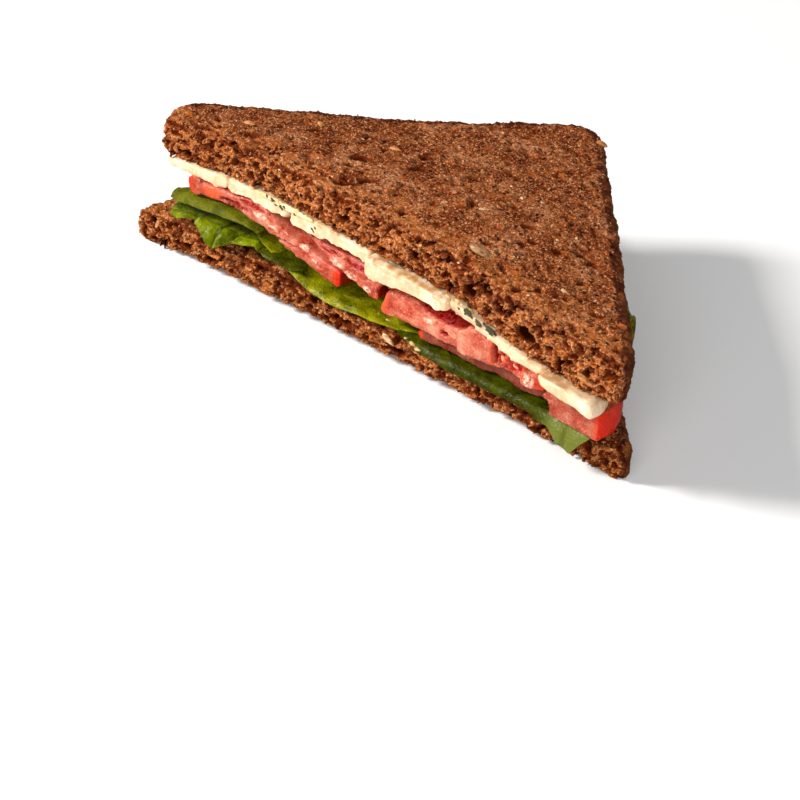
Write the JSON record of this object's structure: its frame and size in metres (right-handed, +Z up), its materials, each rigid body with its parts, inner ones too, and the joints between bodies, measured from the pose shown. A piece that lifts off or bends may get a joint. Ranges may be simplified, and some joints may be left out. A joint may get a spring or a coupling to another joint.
{
  "type": "caprese sandwich half",
  "caption": "Triangular half of a sandwich on dark seeded bread, cut corner to corner, filled with mozzarella, tomato and spinach.",
  "frame": {"origin": "middle of the footprint, on the surface the half lies on", "axes": "+X along the diagonal cut, +Y from the cut towards the slices' uncut corner, +Z up from the lower slice to the upper one"},
  "size_m": [0.155, 0.0854, 0.0378],
  "materials": {
    "bread": "open dark crumb with a browned crust",
    "mozzarella": "soft, moist, slightly translucent",
    "tomato": "wet flesh with glossy red skin",
    "spinach": "smooth leaf with fine veins"
  },
  "bodies": {
    "root": {"bread_bottom": "bread", "bread_top": "bread", "mozzarella_1": "mozzarella", "mozzarella_2": "mozzarella", "mozzarella_3": "mozzarella", "mozzarella_4": "mozzarella", "mozzarella_5": "mozzarella", "mozzarella_6": "mozzarella", "tomato_1": "tomato", "tomato_2": "tomato", "tomato_3": "tomato", "tomato_4": "tomato", "tomato_5": "tomato", "spinach_1": "spinach", "spinach_2": "spinach", "spinach_3": "spinach", "spinach_4": "spinach", "spinach_5": "spinach", "spinach_6": "spinach", "spinach_7": "spinach"}
  },
  "joints": []
}
